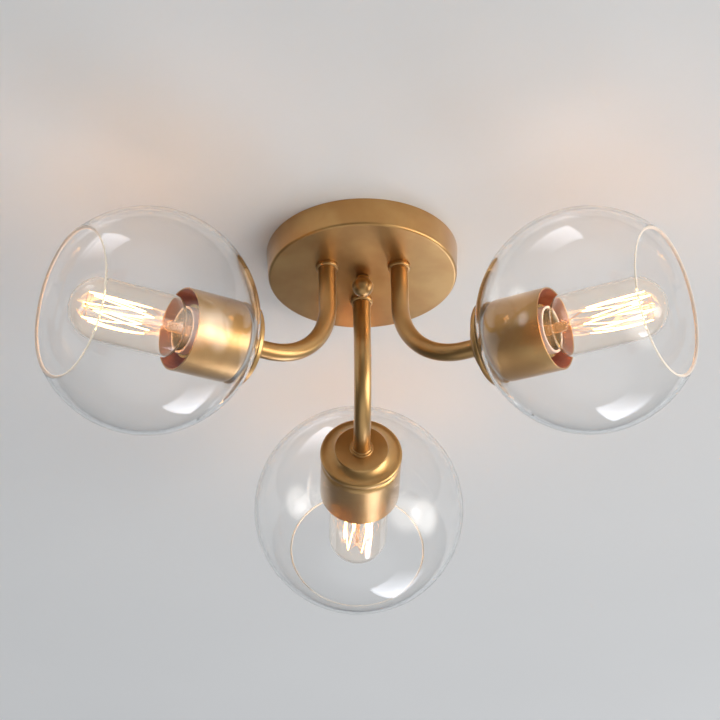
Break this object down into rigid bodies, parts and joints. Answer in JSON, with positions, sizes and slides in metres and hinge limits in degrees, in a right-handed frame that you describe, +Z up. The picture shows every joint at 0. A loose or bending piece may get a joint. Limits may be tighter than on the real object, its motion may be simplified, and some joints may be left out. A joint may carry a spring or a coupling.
{
  "type": "semi flush ceiling light",
  "caption": "Semi flush ceiling light: round canopy, bent tubular arms turned outwards, clear open glass globes over tubular filament bulbs in round sleeves.",
  "frame": {"origin": "centre of the canopy, on the plane of the ceiling", "axes": "+Z up into the ceiling, +X along the mounting bar, +Y along the arm that points away from the camera; the light hangs below z = 0"},
  "size_m": [0.4364, 0.3846, 0.1845],
  "materials": {
    "satin_brass": "satin brass plated steel, lacquered",
    "zinc_steel": "bright zinc plated",
    "green_screw": "green passivated",
    "socket_moulding": "glazed pale porcelain",
    "bare_brass": "bare drawn brass",
    "silicone": "translucent moulded silicone",
    "clear_glass": "clear blown glass, fire-polished lip",
    "bulb_glass": "clear thin bulb glass",
    "dark_glass": "dark fused insulator",
    "bulb_shell": "rolled screw shell",
    "stem_glass": "clear stem glass",
    "filament": "glowing coiled tungsten wire"
  },
  "bodies": {
    "fixture": {"canopy": "satin_brass", "crossbar": "zinc_steel", "ground_screw": "green_screw", "centre_stud": "zinc_steel", "stud_nut": "zinc_steel", "arm_nipples": "zinc_steel", "arm_washers": "zinc_steel", "arm_nuts": "zinc_steel", "lamp_nipples": "zinc_steel", "cap_nuts": "zinc_steel", "back_arm_tube": "satin_brass", "back_top_collar": "satin_brass", "back_end_collar": "satin_brass", "back_cap": "satin_brass", "back_socket_body": "socket_moulding", "back_socket_shell": "bare_brass", "back_centre_contact": "bare_brass", "left_arm_tube": "satin_brass", "left_top_collar": "satin_brass", "left_end_collar": "satin_brass", "left_cap": "satin_brass", "left_socket_body": "socket_moulding", "left_socket_shell": "bare_brass", "left_centre_contact": "bare_brass", "right_arm_tube": "satin_brass", "right_top_collar": "satin_brass", "right_end_collar": "satin_brass", "right_cap": "satin_brass", "right_socket_body": "socket_moulding", "right_socket_shell": "bare_brass", "right_centre_contact": "bare_brass"},
    "finial": {"ball_finial": "satin_brass"},
    "back_shade": {"back_globe": "clear_glass", "back_gasket": "silicone"},
    "back_retainer": {"back_sleeve": "satin_brass", "back_spider": "bare_brass"},
    "back_bulb": {"back_bulb_insulator": "dark_glass", "back_bulb_base": "bulb_shell", "back_bulb_glass": "bulb_glass", "back_bulb_stem": "stem_glass", "back_filament": "filament"},
    "left_shade": {"left_globe": "clear_glass", "left_gasket": "silicone"},
    "left_retainer": {"left_sleeve": "satin_brass", "left_spider": "bare_brass"},
    "left_bulb": {"left_bulb_insulator": "dark_glass", "left_bulb_base": "bulb_shell", "left_bulb_glass": "bulb_glass", "left_bulb_stem": "stem_glass", "left_filament": "filament"},
    "right_shade": {"right_globe": "clear_glass", "right_gasket": "silicone"},
    "right_retainer": {"right_sleeve": "satin_brass", "right_spider": "bare_brass"},
    "right_bulb": {"right_bulb_insulator": "dark_glass", "right_bulb_base": "bulb_shell", "right_bulb_glass": "bulb_glass", "right_bulb_stem": "stem_glass", "right_filament": "filament"}
  },
  "joints": [
    {"name": "finial_unscrew", "type": "slide", "parent": "fixture", "child": "finial", "axis": [0, 0, -1], "range_m": [0, 0.014]},
    {"name": "back_shade_off", "type": "slide", "parent": "fixture", "child": "back_shade", "axis": [0, 0.9981, -0.061], "range_m": [0, 0.05]},
    {"name": "back_sleeve_unscrew", "type": "slide", "parent": "back_shade", "child": "back_retainer", "axis": [0, 0.9981, -0.061], "range_m": [0, 0.045]},
    {"name": "back_bulb_unscrew", "type": "slide", "parent": "back_retainer", "child": "back_bulb", "axis": [0, 0.9981, -0.061], "range_m": [0, 0.12]},
    {"name": "left_shade_off", "type": "slide", "parent": "fixture", "child": "left_shade", "axis": [-0.8644, -0.4991, -0.061], "range_m": [0, 0.05]},
    {"name": "left_sleeve_unscrew", "type": "slide", "parent": "left_shade", "child": "left_retainer", "axis": [-0.8644, -0.4991, -0.061], "range_m": [0, 0.045]},
    {"name": "left_bulb_unscrew", "type": "slide", "parent": "left_retainer", "child": "left_bulb", "axis": [-0.8644, -0.4991, -0.061], "range_m": [0, 0.12]},
    {"name": "right_shade_off", "type": "slide", "parent": "fixture", "child": "right_shade", "axis": [0.8644, -0.4991, -0.061], "range_m": [0, 0.05]},
    {"name": "right_sleeve_unscrew", "type": "slide", "parent": "right_shade", "child": "right_retainer", "axis": [0.8644, -0.4991, -0.061], "range_m": [0, 0.045]},
    {"name": "right_bulb_unscrew", "type": "slide", "parent": "right_retainer", "child": "right_bulb", "axis": [0.8644, -0.4991, -0.061], "range_m": [0, 0.12]}
  ]
}
